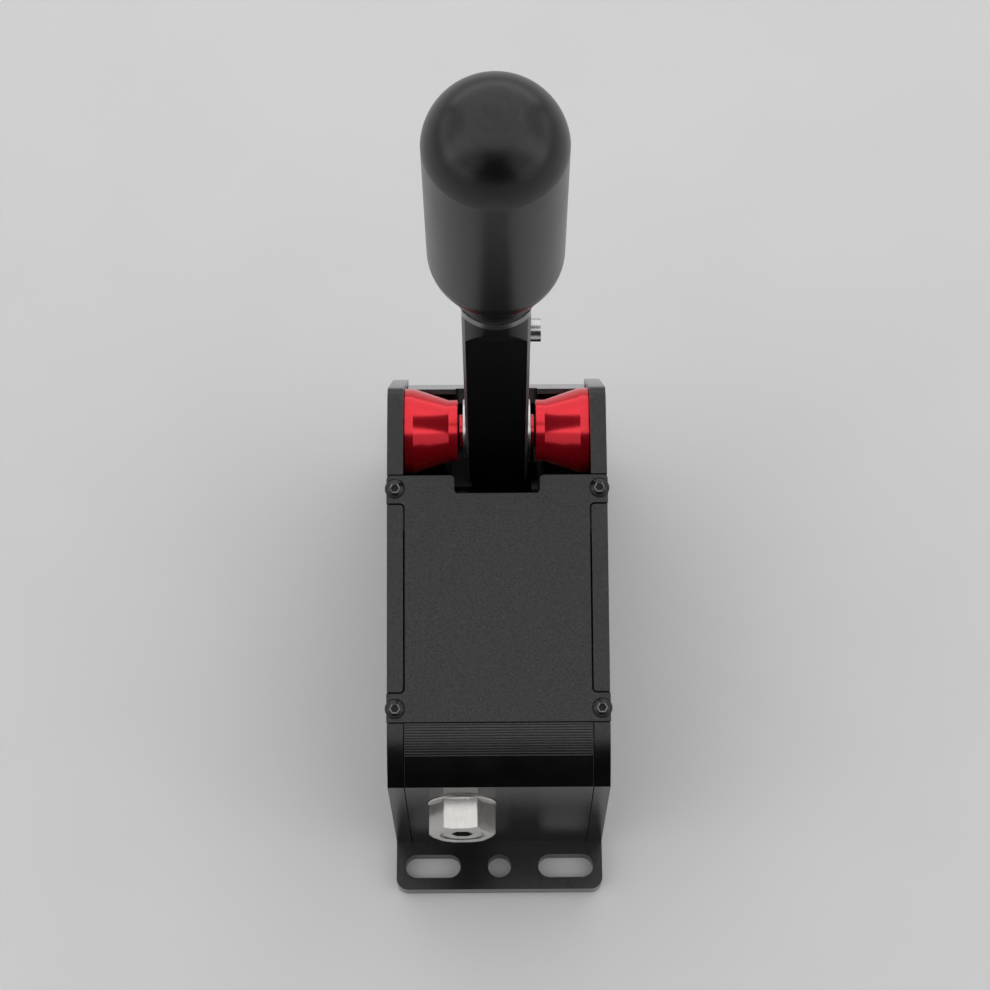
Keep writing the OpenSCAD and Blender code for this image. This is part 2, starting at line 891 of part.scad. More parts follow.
// Profile of the knob, radius against height over the lever's head
module knob_profile() {
    full_r = knob_d / 2;
    round_x = full_r - knob_round;
    foot_r = knob_foot_d / 2;
    neck_r = knob_neck_d / 2;
    neck_top = knob_shoulder - sqrt(pow(knob_round, 2) - pow(neck_r - round_x, 2));
    lean = (neck_r - foot_r) / neck_top;
    dome_r = (pow(full_r, 2) + pow(dome_h, 2)) / (2 * dome_h);
    dome_z = knob_len + dome_h - dome_r;
    lap = 1;
    polygon([[0, 0], [foot_r, 0], [neck_r + lap * lean, neck_top + lap], [0, neck_top + lap]]);
    intersection() {
        translate([round_x, knob_shoulder])
            circle(knob_round, $fn = 144);
        translate([0, neck_top - lap])
            square([knob_d, knob_shoulder - neck_top + lap]);
    }
    intersection() {
        translate([0, knob_shoulder])
            square([full_r, knob_len + dome_h - knob_shoulder]);
        union() {
            translate([0, dome_z])
                circle(dome_r, $fn = 144);
            square([knob_d, dome_z]);
        }
    }
}

module knob() {
    color(black_anodised)
        translate([0, pivot_y, head_z])
            difference() {
                rotate_extrude($fn = 144)
                    knob_profile();
                translate([0, 0, -1])
                    cylinder(h = stud_out + 1.5, d = stud_d + 2 * seat_fit);
            }
}

module knob_stud() {
    color(bright_steel)
        translate([0, pivot_y, head_z - stud_in])
            cylinder(h = stud_in + stud_out, d = stud_d);
}

module lever_side_screw() {
    tip_x = stud_d / 2 + side_gap;
    color(bright_steel)
        difference() {
            union() {
                bar_x([pivot_y, head_z - lock_drop], lock_head_d, lever_w / 2, lever_w / 2 + lock_head_h);
                bar_x([pivot_y, head_z - lock_drop], m3_shank, tip_x, lever_w / 2 + 0.1);
            }
            translate([lever_w / 2 + lock_head_h - socket_depth, pivot_y, head_z - lock_drop])
                rotate([0, 90, 0])
                    hex_prism(m4_socket, socket_depth + 1);
        }
}

module link_pin() {
    clip_x = rod_x - eye_t / 2 - side_gap - clip_t;
    color(black_steel)
        bar_x(link, link_pin_d, clip_x - pin_end, tongue_w / 2);
}

module link_clip() {
    clip_x = rod_x - eye_t / 2 - side_gap - clip_t;
    color(black_steel)
        difference() {
            bar_x(link, clip_d, clip_x, clip_x + clip_t);
            bar_x(link, link_pin_d + 2 * seat_fit, clip_x - 1, clip_x + clip_t + 1);
        }
}

module magnet() {
    end_x = tongue_w / 2 + magnet_proud;
    color([0.7, 0.7, 0.72])
        bar_x([pivot_y, magnet_z], magnet_d, end_x - magnet_t, end_x);
}

// Centring rod and springs

module centring_rod() {
    slot_d = link_pin_d + 2 * run_fit;
    color(black_steel)
        difference() {
            union() {
                bar_y(rod_x, link_z, rod_d, rod_y, pivot_y - eye_reach + 1);
                across(rod_x - eye_t / 2, rod_x + eye_t / 2) {
                    translate(link)
                        circle(eye_r);
                    translate([pivot_y - eye_reach, link_z - eye_r])
                        square([eye_reach, 2 * eye_r]);
                }
            }
            across(rod_x - eye_t, rod_x + eye_t)
                translate(link)
                    rotate(90)
                        slot(slot_d + eye_play, slot_d);
        }
}

module rod_collar() {
    color(black_steel)
        difference() {
            bar_y(rod_x, link_z, seat_d, collar_y, collar_y + collar_t);
            bar_y(rod_x, link_z, rod_d + 2 * seat_fit, collar_y - 1, collar_y + collar_t + 1);
        }
}

// Compression spring along Y as one unbroken tube from y0 to y1
curl_rings = 8;
wire_sides = 6;
function coil_middle(i, len) = let (turn = 360 * i / curl_rings)
    [spring_d / 2 * cos(turn), spring_d / 2 * sin(turn),
     wire_d / 2 + (len - wire_d) * i / (curl_rings * spring_turns)];
function coil_skin(i, k, len) = let (turn = 360 * i / curl_rings, side = 360 * k / wire_sides)
    coil_middle(i, len) + wire_d / 2 * [cos(side) * cos(turn), cos(side) * sin(turn), sin(side)];
function coil_gap(len) = min([
    for (i = [0 : curl_rings * (spring_turns - 1)])
        norm(coil_middle(i + curl_rings, len) - coil_middle(i, len))
]) - wire_d;

module coil_spring(y0, y1) {
    len = y1 - y0;
    rings = curl_rings * spring_turns;
    ends = [0, rings * wire_sides];
    points = [for (i = [0 : rings], k = [0 : wire_sides - 1]) coil_skin(i, k, len)];
    sides = [
        for (i = [0 : rings - 1], k = [0 : wire_sides - 1])
            let (a = i * wire_sides, b = a + wire_sides, n = (k + 1) % wire_sides)
                each [[a + k, b + k, a + n], [a + n, b + k, b + n]]
    ];
    caps = [
        for (k = [1 : wire_sides - 2])
            each [[ends[0], ends[0] + k, ends[0] + k + 1], [ends[1], ends[1] + k + 1, ends[1] + k]]
    ];
    echo(spring_gap = coil_gap(len));
    color([0.55, 0.56, 0.58])
        translate([rod_x, y0, link_z])
            rotate([-90, 0, 0])
                polyhedron(points, concat(sides, caps));
}

module front_spring() {
    coil_spring(seat_y + seat_t + side_gap, collar_y - side_gap);
}

module rear_spring() {
    coil_spring(collar_y + collar_t + side_gap, bush_y - side_gap);
}

// Cross member that ties the side plates and guides the rod
module guide_block() {
    bush_d = rod_d + 2 * run_fit + 2 * bush_wall;
    color(black_anodised)
        difference() {
            translate([-inner_x, block_y, block_low])
                cube([2 * inner_x, block_t, block_high - block_low]);
            bar_y(rod_x, link_z, bush_d + 2 * seat_fit, block_y - 1, block_rear_y + 1);
            bar_y(rod_x, guide_z, guide_d + 2 * seat_fit, block_y - 1, block_y + guide_seat);
            for (side = [-1, 1])
                on_side(side)
                    sunk_hole(sunk_head, sunk_shank, sunk_len);
        }
}

// Flanged bush in the guide block
module rod_bush() {
    bush_d = rod_d + 2 * run_fit + 2 * bush_wall;
    color(bronze)
        difference() {
            union() {
                bar_y(rod_x, link_z, bush_d, bush_y, block_rear_y);
                bar_y(rod_x, link_z, seat_d, bush_y, block_y);
            }
            bar_y(rod_x, link_z, rod_d + 2 * run_fit, bush_y - 1, block_rear_y + 1);
        }
}

module guide_rod() {
    color(bright_steel)
        bar_y(rod_x, guide_z, guide_d, wall_in_y - guide_seat, block_y + guide_seat);
}

// Rubber buffer with a rounded tip, along Y from its seat
module bump_stop(y0, len, toward) {
    tip_r = 1.5;
    color([0.05, 0.05, 0.05])
        translate([stop_x, y0, link_z])
            rotate([-90 * toward, 0, 0])
                rotate_extrude() {
                    square([stop_d / 2, len - tip_r]);
                    square([stop_d / 2 - tip_r, len]);
                    translate([stop_d / 2 - tip_r, len - tip_r])
                        intersection() {
                            circle(tip_r);
                            square(tip_r);
                        }
                }
}

module front_bump_stop() {
    tip_y = pivot_y - rod_stroke - tongue_depth / 2 - side_gap;
    bump_stop(block_rear_y, tip_y - block_rear_y, 1);
}

module rear_bump_stop() {
    tip_y = pivot_y + rod_stroke + tongue_depth / 2 + side_gap;
    bump_stop(rear_in_y, rear_in_y - tip_y, -1);
}

// Spring seat: a nut on the adjuster's screw with an ear on the guide rod
module spring_seat() {
    ear_r = guide_d / 2 + 2;
    color(black_steel)
        difference() {
            translate([rod_x, seat_y + seat_t, link_z])
                rotate([90, 0, 0])
                    linear_extrude(seat_t) {
                        circle(d = seat_d);
                        translate([0, -guide_drop])
                            circle(ear_r);
                        translate([-ear_r, -guide_drop])
                            square([2 * ear_r, guide_drop]);
                    }
            bar_y(rod_x, link_z, screw_d + 2 * run_fit, seat_y - 1, seat_y + seat_t + 1);
            bar_y(rod_x, guide_z, guide_d + 2 * run_fit, seat_y - 1, seat_y + seat_t + 1);
        }
}

// Adjuster

// Hex end with its corners turned off, journal in the wall, flange behind it and the screw
module adjuster() {
    hex_y = front_y - hex_reach;
    journal_d = adjuster_hole_d - 2 * run_fit;
    corner_r = hex_af / 2 / cos(30);
    end_r = hex_af / 2 + 0.35;
    turned_r = corner_r + 1;
    turned = (turned_r - end_r) / tan(60);
    hex_turn = -2.7;
    hex_len = hex_reach + hex_inset;
    rim = 0.9;
    rim_depth = 1;
    color(bright_steel)
        difference() {
            union() {
                translate([rod_x, hex_y, link_z])
                    rotate([-90, 0, 0])
                        intersection() {
                            rotate(hex_turn)
                                hex_prism(hex_af, hex_len);
                            rotate_extrude()
                                polygon([
                                    [0, 0], [end_r, 0], [turned_r, turned],
                                    [turned_r, hex_len - turned], [end_r, hex_len], [0, hex_len]
                                ]);
                        }
                bar_y(rod_x, link_z, journal_d, front_y + hex_inset, flange_y + 0.5);
                bar_y(rod_x, link_z, adjuster_flange_d, flange_y, screw_y);
                bar_y(rod_x, link_z, screw_d, screw_y - 0.5, screw_end_y);
            }
            bar_y(rod_x, link_z, lock_screw_d + 2 * rim, hex_y - 1, hex_y + rim_depth);
            bar_y(rod_x, link_z, lock_screw_d + 2 * seat_fit, hex_y - 1, hex_y + lock_screw_len);
        }
}

module adjuster_lock_screw() {
    hex_y = front_y - hex_reach;
    lead = 0.4;
    drive_af = 5.5;
    drive_depth = 4;
    color(bright_steel)
        translate([rod_x, hex_y + lead, link_z])
            rotate([-90, 0, 0])
                difference() {
                    cylinder(h = lock_screw_len - lead, d = lock_screw_d);
                    translate([0, 0, -1])
                        hex_prism(drive_af, drive_depth + 1);
                }
}

// Electronics

module sensor_board() {
    color([0.02, 0.03, 0.03])
        difference() {
            translate([board_x, board_y, board_z])
                cube([board_t, board_len, board_h]);
            for (place = standoffs)
                bar_x(place, m3_shank + 2 * seat_fit, board_x - 1, board_x + board_t + 1);
        }
}

module board_standoffs() {
    color(bronze)
        for (place = standoffs)
            difference() {
                translate([board_x + board_t, place.x, place.y])
                    rotate([0, 90, 0])
                        hex_prism(standoff_af, inner_x - board_x - board_t);
                bar_x(place, m3_shank + 2 * seat_fit, board_x, board_x + m3_len);
            }
}

module board_screws() {
    head_h = 1.8;
    head_d = 5.5;
    color(black_steel)
        for (place = standoffs)
            difference() {
                union() {
                    bar_x(place, head_d, board_x - head_h, board_x);
                    bar_x(place, m3_shank, board_x - 0.1, board_x + board_t + m3_len / 2);
                }
                translate([board_x - head_h - 1, place.x, place.y])
                    rotate([0, 90, 0])
                        hex_prism(m3_socket, 1 + socket_depth);
            }
}

module hall_sensor() {
    chip = 5;
    chip_t = 1;
    color([0.06, 0.06, 0.06])
        translate([board_x - chip_t, pivot_y - chip / 2, magnet_z - chip / 2])
            cube([chip_t, chip, chip]);
}

// Modular jack on the board, with its mouth and latch slot open to the rear
module data_socket() {
    mouth_y = rear_y - rear_recess - mouth_len;
    low_x = board_x + board_t;
    mouth_x = low_x + (socket_h - mouth_h) / 2;
    latch_w = 4;
    latch_h = 1.6;
    color([0.08, 0.08, 0.08])
        difference() {
            translate([low_x, rear_y - rear_recess - socket_len, socket_z - socket_w / 2])
                cube([socket_h, socket_len, socket_w]);
            translate([mouth_x, mouth_y, socket_z - mouth_w / 2])
                cube([mouth_h, past, mouth_w]);
            translate([mouth_x + mouth_h - 0.1, mouth_y, socket_z - latch_w / 2])
                cube([latch_h + 0.1, past, latch_w]);
        }
}

base_plate();
left_side_plate();
right_side_plate();
nose_housing();
top_cover();
rear_cover();
cover_screws();
side_screws();
base_screws();
pivot_axle();
axle_screws();
left_pivot_cone();
right_pivot_cone();
guide_block();
rod_bush();
guide_rod();
front_bump_stop();
rear_bump_stop();
sensor_board();
board_standoffs();
board_screws();
hall_sensor();
data_socket();
front_spring();
rear_spring();
lever_arm();
knob();
knob_stud();
lever_side_screw();
pivot_bearings();
thrust_washers();
link_pin();
link_clip();
magnet();
centring_rod();
rod_collar();
adjuster();
adjuster_lock_screw();
spring_seat();
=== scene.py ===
# %% [markdown]
# # A sequential gear shifter: from imported solids to a finished look
# The solids come in as the frame: every piece of the shifter at its true size and place, in metres.
# This lesson gives them the finishes and the small edges that a camera sees. Nothing that we add
# may make the shifter larger.

import json
import math

import bmesh
import bpy
from mathutils import Euler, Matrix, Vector


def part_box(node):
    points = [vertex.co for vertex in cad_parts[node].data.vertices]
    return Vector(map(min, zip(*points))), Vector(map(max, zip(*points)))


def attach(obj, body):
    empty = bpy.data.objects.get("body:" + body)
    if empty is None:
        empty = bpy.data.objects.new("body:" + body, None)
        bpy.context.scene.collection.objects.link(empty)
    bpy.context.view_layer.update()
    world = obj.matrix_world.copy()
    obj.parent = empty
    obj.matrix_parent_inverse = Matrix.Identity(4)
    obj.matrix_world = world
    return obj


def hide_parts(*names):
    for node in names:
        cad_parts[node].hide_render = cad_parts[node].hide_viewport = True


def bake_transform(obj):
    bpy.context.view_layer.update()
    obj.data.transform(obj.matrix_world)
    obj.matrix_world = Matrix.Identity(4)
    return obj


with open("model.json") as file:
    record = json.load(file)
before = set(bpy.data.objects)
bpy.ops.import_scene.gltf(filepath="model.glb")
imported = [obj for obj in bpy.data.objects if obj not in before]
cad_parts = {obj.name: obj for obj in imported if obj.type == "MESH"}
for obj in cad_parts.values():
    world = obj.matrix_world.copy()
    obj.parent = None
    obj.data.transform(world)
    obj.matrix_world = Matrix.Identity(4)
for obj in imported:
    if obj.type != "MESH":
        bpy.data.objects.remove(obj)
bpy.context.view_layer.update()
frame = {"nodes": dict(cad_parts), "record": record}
solids = frame["nodes"]
record = frame["record"]
bodies = record["behaviour"]["bodies"]
body_of_node = {node: body for body, nodes in bodies.items() for node in nodes}
scene = bpy.context.scene
MM = 0.001

# %% [markdown]
# ## The camera
# The photograph looks steeply down on the front of the shifter with a long lens. A camera could be
# placed by eye, but two things in the picture fix it: how fast the body narrows from the cover to
# the base gives the distance, and where the knob's foot falls gives the height. We type in the
# result, with angles in degrees.

# %% Camera
CAMERA_PLACE = (-0.0006, -0.230, 0.7052)
CAMERA_TILT = 21.7
CAMERA_ROLL = -0.376
SENSOR_WIDTH = 36
LENS = 85.4
camera_data = bpy.data.cameras.new("photo_camera")
camera_data.sensor_width = SENSOR_WIDTH
camera_data.lens = LENS
camera = bpy.data.objects.new("photo_camera", camera_data)
camera.location = CAMERA_PLACE
tilt = Euler((math.radians(CAMERA_TILT), 0, 0)).to_matrix()
roll = Euler((0, 0, math.radians(CAMERA_ROLL))).to_matrix()
camera.rotation_euler = (tilt @ roll).to_euler()
scene.collection.objects.link(camera)
scene.camera = camera
scene.view_settings.view_transform = "Standard"
print("camera", [round(v, 4) for v in camera.location], "lens", LENS)

# %% [markdown]
# ## The floor
# The shifter stands on pale paper. Black metal has hardly any colour of its own, so what we see on it
# is what it mirrors, and the paper is what greys its walls and the knob's sides from below. A curved
# sweep would hide the horizon from one side only, so a flat square serves. It lies a hair below the
# base, and a little noise in its colour keeps it from looking like plastic.

# %% Floor
FLOOR_HALF = 1.1
FLOOR_DROP = 0.3 * MM
PAPER_DARK = (0.63, 0.63, 0.635, 1)
PAPER_LIGHT = (0.67, 0.67, 0.675, 1)
PAPER_ROUGH = 0.9
FIBRE_SCALE = 40


def plain_shader(material):
    material.use_nodes = True
    return material.node_tree, material.node_tree.nodes["Principled BSDF"]


def studio_floor():
    mesh = bpy.data.meshes.new("studio_floor")
    half = FLOOR_HALF
    corners = [(-half, -half, 0), (half, -half, 0), (half, half, 0), (-half, half, 0)]
    mesh.from_pydata(corners, [], [(0, 1, 2, 3)])
    floor = bpy.data.objects.new("studio_floor", mesh)
    floor.location.z = -FLOOR_DROP
    scene.collection.objects.link(floor)
    paper = bpy.data.materials.new("pale_paper")
    tree, shader = plain_shader(paper)
    shader.inputs["Roughness"].default_value = PAPER_ROUGH
    fibres = tree.nodes.new("ShaderNodeTexNoise")
    fibres.inputs["Scale"].default_value = FIBRE_SCALE
    ramp = tree.nodes.new("ShaderNodeValToRGB")
    ramp.color_ramp.elements[0].color = PAPER_DARK
    ramp.color_ramp.elements[1].color = PAPER_LIGHT
    tree.links.new(fibres.outputs["Fac"], ramp.inputs["Fac"])
    tree.links.new(ramp.outputs["Color"], shader.inputs["Base Color"])
    mesh.materials.append(paper)


studio_floor()
print("floor", 2 * FLOOR_HALF, "m square")

# %% [markdown]
# ## Lamps
# One broad lamp overhead greys the cover. A ring of lamps of about the same brightness runs round the
# back and the sides, so that the knob's dome is an even grey. The ring is left open in front: the
# brow and a spot on the dome mirror that dark gap. Small lamps would draw hard spots on metal, so
# each is an area lamp of a metre or more, turned to a place on the shifter. Sizes are in metres.


# %% Lamps
def soft_lamp(name, place, aim, width, height, watts):
    data = bpy.data.lights.new(name, "AREA")
    data.shape = "RECTANGLE"
    data.size = width
    data.size_y = height
    data.energy = watts
    lamp = bpy.data.objects.new(name, data)
    lamp.location = place
    lamp.rotation_euler = (Vector(aim) - Vector(place)).to_track_quat("-Z", "Y").to_euler()
    scene.collection.objects.link(lamp)
    print(name, width, "x", height, "m,", watts, "W")


MIDDLE = (0, 0.01, 0.09)
soft_lamp("overhead_lamp", (0, 0.36, 1.6), (0, 0.36, 0), width=2.6, height=2.5, watts=24)
soft_lamp("rear_lamp", (0, 1.7, 0.9), (0, 0, 0.2), width=3.4, height=1.3, watts=15)
soft_lamp("left_lamp", (-1.5, 0.2, 0.95), MIDDLE, width=2.0, height=1.4, watts=7)
soft_lamp("right_lamp", (1.5, 0.2, 0.95), MIDDLE, width=2.0, height=1.4, watts=7)
soft_lamp("front_left_lamp", (-1.19, -0.72, 0.85), MIDDLE, width=1.6, height=1.3, watts=3.8)
soft_lamp("front_right_lamp", (1.19, -0.72, 0.85), MIDDLE, width=1.6, height=1.3, watts=3.8)

# %% [markdown]
# ## The backdrop
# The room stays dim, so that the gap in front can go black. Round the horizon it is pale, as if the
# paper ran on past the floor's edge: a low band in front, and a taller one on all other sides. The
# world's direction gives the bands, its Z for their height and its Y for the front. Light Path gives
# them to the camera and to reflections alone, so they shed no light on the shifter.


# %% Backdrop helpers
def joined(tree, operation, first, second):
    node = tree.nodes.new("ShaderNodeMath")
    node.operation = operation
    tree.links.new(first, node.inputs[0])
    tree.links.new(second, node.inputs[1])
    return node.outputs["Value"]


def soft_step(tree, source, full, gone):
    step = tree.nodes.new("ShaderNodeMapRange")
    step.interpolation_type = "SMOOTHSTEP"
    step.inputs["From Min"].default_value = full
    step.inputs["From Max"].default_value = gone
    step.inputs["To Min"].default_value = 1
    step.inputs["To Max"].default_value = 0
    tree.links.new(source, step.inputs["Value"])
    return step.outputs["Result"]


# %% Backdrop
ROOM_COLOUR = (0.3, 0.3, 0.31, 1)
ROOM_STRENGTH = 0.05
BACKDROP_COLOUR = (0.47, 0.47, 0.48, 1)
LOW_BAND = [math.sin(math.radians(a)) for a in (2, 7)]
TALL_BAND = [math.sin(math.radians(a)) for a in (10, 15)]
FRONT_GAP = (-0.7, -0.88)
world = bpy.data.worlds.new("dim_room")
scene.world = world
world.use_nodes = True
room = world.node_tree
dim = room.nodes["Background"]
dim.inputs["Color"].default_value = ROOM_COLOUR
dim.inputs["Strength"].default_value = ROOM_STRENGTH
backdrop = room.nodes.new("ShaderNodeBackground")
backdrop.inputs["Color"].default_value = BACKDROP_COLOUR
direction = room.nodes.new("ShaderNodeTexCoord")
along = room.nodes.new("ShaderNodeSeparateXYZ")
room.links.new(direction.outputs["Generated"], along.inputs["Vector"])
low_band = soft_step(room, along.outputs["Z"], *LOW_BAND)
tall_band = soft_step(room, along.outputs["Z"], *TALL_BAND)
not_in_front = soft_step(room, along.outputs["Y"], *FRONT_GAP)
pale = joined(room, "MAXIMUM", low_band, joined(room, "MULTIPLY", tall_band, not_in_front))
ray = room.nodes.new("ShaderNodeLightPath")
shown = ray.outputs["Is Camera Ray"]
for kind in ("Is Glossy Ray", "Is Transmission Ray"):
    shown = joined(room, "MAXIMUM", shown, ray.outputs[kind])
either = room.nodes.new("ShaderNodeMixShader")
room.links.new(joined(room, "MULTIPLY", pale, shown), either.inputs["Fac"])
room.links.new(dim.outputs["Background"], either.inputs[1])
room.links.new(backdrop.outputs["Background"], either.inputs[2])
room.links.new(either.outputs["Shader"], room.nodes["World Output"].inputs["Surface"])
print("backdrop with", len(room.nodes), "nodes")

# %% [markdown]
# ## Finishes
# Almost everything here is metal with a surface treatment, so one recipe serves: a base colour that
# drifts a little, a roughness that drifts with it, and a fine relief. The relief is what differs.
# Blasted plates have grain the same in every direction. Turned pieces have lines round their axis and
# drawn bar has lines along it, and both come from stretching the grain's coordinates one way. Flecks
# are grain in the gloss, for plates whose grain shows more than its relief. The grain's size and the
# relief's depth are in millimetres.

# %% Recipe helpers
NOISE_LOW = 0.3
NOISE_HIGH = 0.7


def noise(tree, place, scale, detail):
    node = tree.nodes.new("ShaderNodeTexNoise")
    node.inputs["Scale"].default_value = scale
    node.inputs["Detail"].default_value = detail
    tree.links.new(place, node.inputs["Vector"])
    return node.outputs["Fac"]


def halved(tree, source):
    node = tree.nodes.new("ShaderNodeMath")
    node.operation = "MULTIPLY"
    node.inputs[1].default_value = 0.5
    tree.links.new(source, node.inputs[0])
    return node.outputs["Value"]


def spread(tree, source, low, high, target):
    node = tree.nodes.new("ShaderNodeMapRange")
    node.inputs["From Min"].default_value = NOISE_LOW
    node.inputs["From Max"].default_value = NOISE_HIGH
    node.inputs["To Min"].default_value = low
    node.inputs["To Max"].default_value = high
    tree.links.new(source, node.inputs["Value"])
    tree.links.new(node.outputs["Result"], target)


# %% The metal recipe
MEAN_GLOSS = 0.5
FINE_DETAIL = 3
BROAD_DETAIL = 4
EVEN = (1, 1, 1)
ROUND_Z = (0.05, 0.05, 1)
finishes = []


def metal(name, dark, light, metallic, rough, grain, depth, stretch=EVEN, drift=120, fleck=0.0):
    finish = bpy.data.materials.new(name)
    tree, shader = plain_shader(finish)
    shader.inputs["Metallic"].default_value = metallic
    place = tree.nodes.new("ShaderNodeTexCoord").outputs["Object"]
    stretched = tree.nodes.new("ShaderNodeMapping")
    stretched.inputs["Scale"].default_value = stretch
    tree.links.new(place, stretched.inputs["Vector"])
    fine = noise(tree, stretched.outputs["Vector"], 1 / (grain * MM), FINE_DETAIL)
    broad = noise(tree, place, drift, BROAD_DETAIL)
    both = joined(tree, "ADD", halved(tree, fine), halved(tree, broad))
    tint = tree.nodes.new("ShaderNodeValToRGB")
    stops = ((NOISE_LOW, dark), (NOISE_HIGH, light))
    for element, (position, colour) in zip(tint.color_ramp.elements, stops):
        element.position = position
        element.color = (*colour, 1)
    tree.links.new(both, tint.inputs["Fac"])
    tree.links.new(tint.outputs["Color"], shader.inputs["Base Color"])
    spread(tree, both, *rough, shader.inputs["Roughness"])
    if fleck:
        gloss = shader.inputs["Specular IOR Level"]
        spread(tree, fine, MEAN_GLOSS - fleck, MEAN_GLOSS + fleck, gloss)
    relief = tree.nodes.new("ShaderNodeBump")
    relief.inputs["Distance"].default_value = depth * MM
    tree.links.new(fine, relief.inputs["Height"])
    tree.links.new(relief.outputs["Normal"], shader.inputs["Normal"])
    finishes.append(name)
    return finish


def set_even(finish, socket, value):
    finish.node_tree.nodes["Principled BSDF"].inputs[socket].default_value = value


# %% [markdown]
# Black anodising is a clear, dyed skin on aluminium. It mirrors a little, like lacquer, over a nearly
# black ground, so it is not a bare metal and its Metallic stays low. Edges get a paler version of the
# same finish: partly the thinner skin where an edge is broken, and partly a painted highlight along
# the edge. The milled edge finish is paler still, for a chamfer cut bright, and it also paints the
# highlight that the chamfer catches. The shade is for gaps and sockets, where hardly any light gets
# in.

# %% Black finishes for the plates and the lever
blasted_black = metal(
    "blasted_black", dark=(0.0008, 0.0008, 0.0009), light=(0.003, 0.003, 0.0032),
    metallic=0.0, rough=(0.19, 0.27), grain=0.3, depth=0.02, fleck=0.22,
)
milled_black = metal(
    "milled_black", dark=(0.001, 0.001, 0.0011), light=(0.003, 0.003, 0.0032),
    metallic=0.0, rough=(0.34, 0.42), grain=0.2, depth=0.005, stretch=(1, 1, 0.3),
)
set_even(milled_black, "Specular IOR Level", 0.35)
turned_black = metal(
    "turned_black", dark=(0.001, 0.001, 0.0011), light=(0.003, 0.003, 0.0032),
    metallic=0.0, rough=(0.27, 0.32), grain=0.18, depth=0.002, stretch=ROUND_Z, fleck=0.04,
)
edge_wear_and_highlight = metal(
    "edge_wear_and_highlight", dark=(0.14, 0.14, 0.145), light=(0.24, 0.24, 0.246),
    metallic=0.6, rough=(0.26, 0.38), grain=0.2, depth=0.004,
)
smooth_black = metal(
    "smooth_black", dark=(0.003, 0.003, 0.0032), light=(0.006, 0.006, 0.0064),
    metallic=0.0, rough=(0.1, 0.17), grain=0.25, depth=0.002,
)
set_even(smooth_black, "IOR", 2.4)
milled_edge_highlight = metal(
    "milled_edge_highlight", dark=(0.2, 0.2, 0.203), light=(0.28, 0.28, 0.285),
    metallic=0.9, rough=(0.2, 0.3), grain=0.2, depth=0.003, stretch=(1, 0.3, 0.3),
)
print(len(finishes), "finishes ready")

# %% Black finishes for the steel pieces and the gaps
oxide_black = metal(
    "oxide_black", dark=(0.005, 0.005, 0.0053), light=(0.011, 0.0108, 0.0108),
    metallic=0.1, rough=(0.2, 0.3), grain=0.15, depth=0.004, fleck=0.1,
)
# painted shade: a dull black for the steel pieces inside the box, which lies in shadow
painted_shade_black = metal(
    "painted_shade_black", dark=(0.003, 0.003, 0.003), light=(0.007, 0.007, 0.007),
    metallic=0.0, rough=(0.5, 0.65), grain=0.2, depth=0.004,
)
socket_shade = metal(
    "socket_shade", dark=(0.001, 0.001, 0.001), light=(0.003, 0.003, 0.003),
    metallic=0.0, rough=(0.6, 0.8), grain=0.15, depth=0.01,
)
print(len(finishes), "finishes ready")

# %% [markdown]
# The cones are bright-dipped before they are dyed red, so they mirror like coloured metal under a
# clear coat. The adjuster, screws, washers and pins are plain steel, with turning lines round their
# axis, and the bush and the contacts are copper alloys. One recipe keeps them of a kind.

# %% Red and bright finishes
red_anodised = metal(
    "red_anodised", dark=(0.74, 0.008, 0.022), light=(0.86, 0.014, 0.034),
    metallic=0.7, rough=(0.18, 0.26), grain=0.2, depth=0.001, stretch=ROUND_Z,
)
set_even(red_anodised, "Coat Weight", 0.4)
set_even(red_anodised, "Coat Roughness", 0.15)
stainless = metal(
    "stainless", dark=(0.52, 0.505, 0.485), light=(0.62, 0.61, 0.59),
    metallic=1.0, rough=(0.2, 0.28), grain=0.5, depth=0.0006, stretch=(1, 0.2, 1), drift=300,
)
turned_steel = metal(
    "turned_steel", dark=(0.55, 0.55, 0.55), light=(0.7, 0.7, 0.69),
    metallic=1.0, rough=(0.22, 0.32), grain=0.2, depth=0.003, stretch=(1, 0.1, 0.1),
)
washer_steel = metal(
    "washer_steel", dark=(0.72, 0.72, 0.71), light=(0.82, 0.82, 0.8),
    metallic=1.0, rough=(0.22, 0.32), grain=0.2, depth=0.002,
)
spring_wire = metal(
    "spring_wire", dark=(0.3, 0.3, 0.31), light=(0.42, 0.42, 0.43),
    metallic=1.0, rough=(0.3, 0.42), grain=0.3, depth=0.004,
)
bronze = metal(
    "bronze", dark=(0.5, 0.34, 0.16), light=(0.62, 0.44, 0.22),
    metallic=1.0, rough=(0.3, 0.42), grain=0.25, depth=0.004,
)
gold = metal(
    "contact_gold", dark=(0.75, 0.5, 0.16), light=(0.85, 0.6, 0.22),
    metallic=1.0, rough=(0.18, 0.28), grain=0.2, depth=0.001,
)
print(len(finishes), "finishes ready")

# %% [markdown]
# Three finishes are not metal: the rubber of the buffers, the board's lacquer and the mouldings. The
# lacquer is painted nearly black, as the shade inside the box.
# The same recipe serves with its Metallic at nought and a coarser, softer relief.

# %% Rubber, board and moulding
rubber = metal(
    "buffer_rubber", dark=(0.012, 0.012, 0.012), light=(0.022, 0.022, 0.021),
    metallic=0.0, rough=(0.6, 0.8), grain=0.4, depth=0.02,
)
# painted shade: the board's lacquer is made nearly black, as the inside of the box lies in shadow
board_painted_shade = metal(
    "board_painted_shade", dark=(0.003, 0.005, 0.0045), light=(0.006, 0.009, 0.008),
    metallic=0.0, rough=(0.3, 0.45), grain=0.5, depth=0.004,
)
moulded_black = metal(
    "moulded_black", dark=(0.012, 0.012, 0.013), light=(0.022, 0.022, 0.023),
    metallic=0.0, rough=(0.4, 0.55), grain=0.3, depth=0.008,
)
print(len(finishes), "finishes ready")

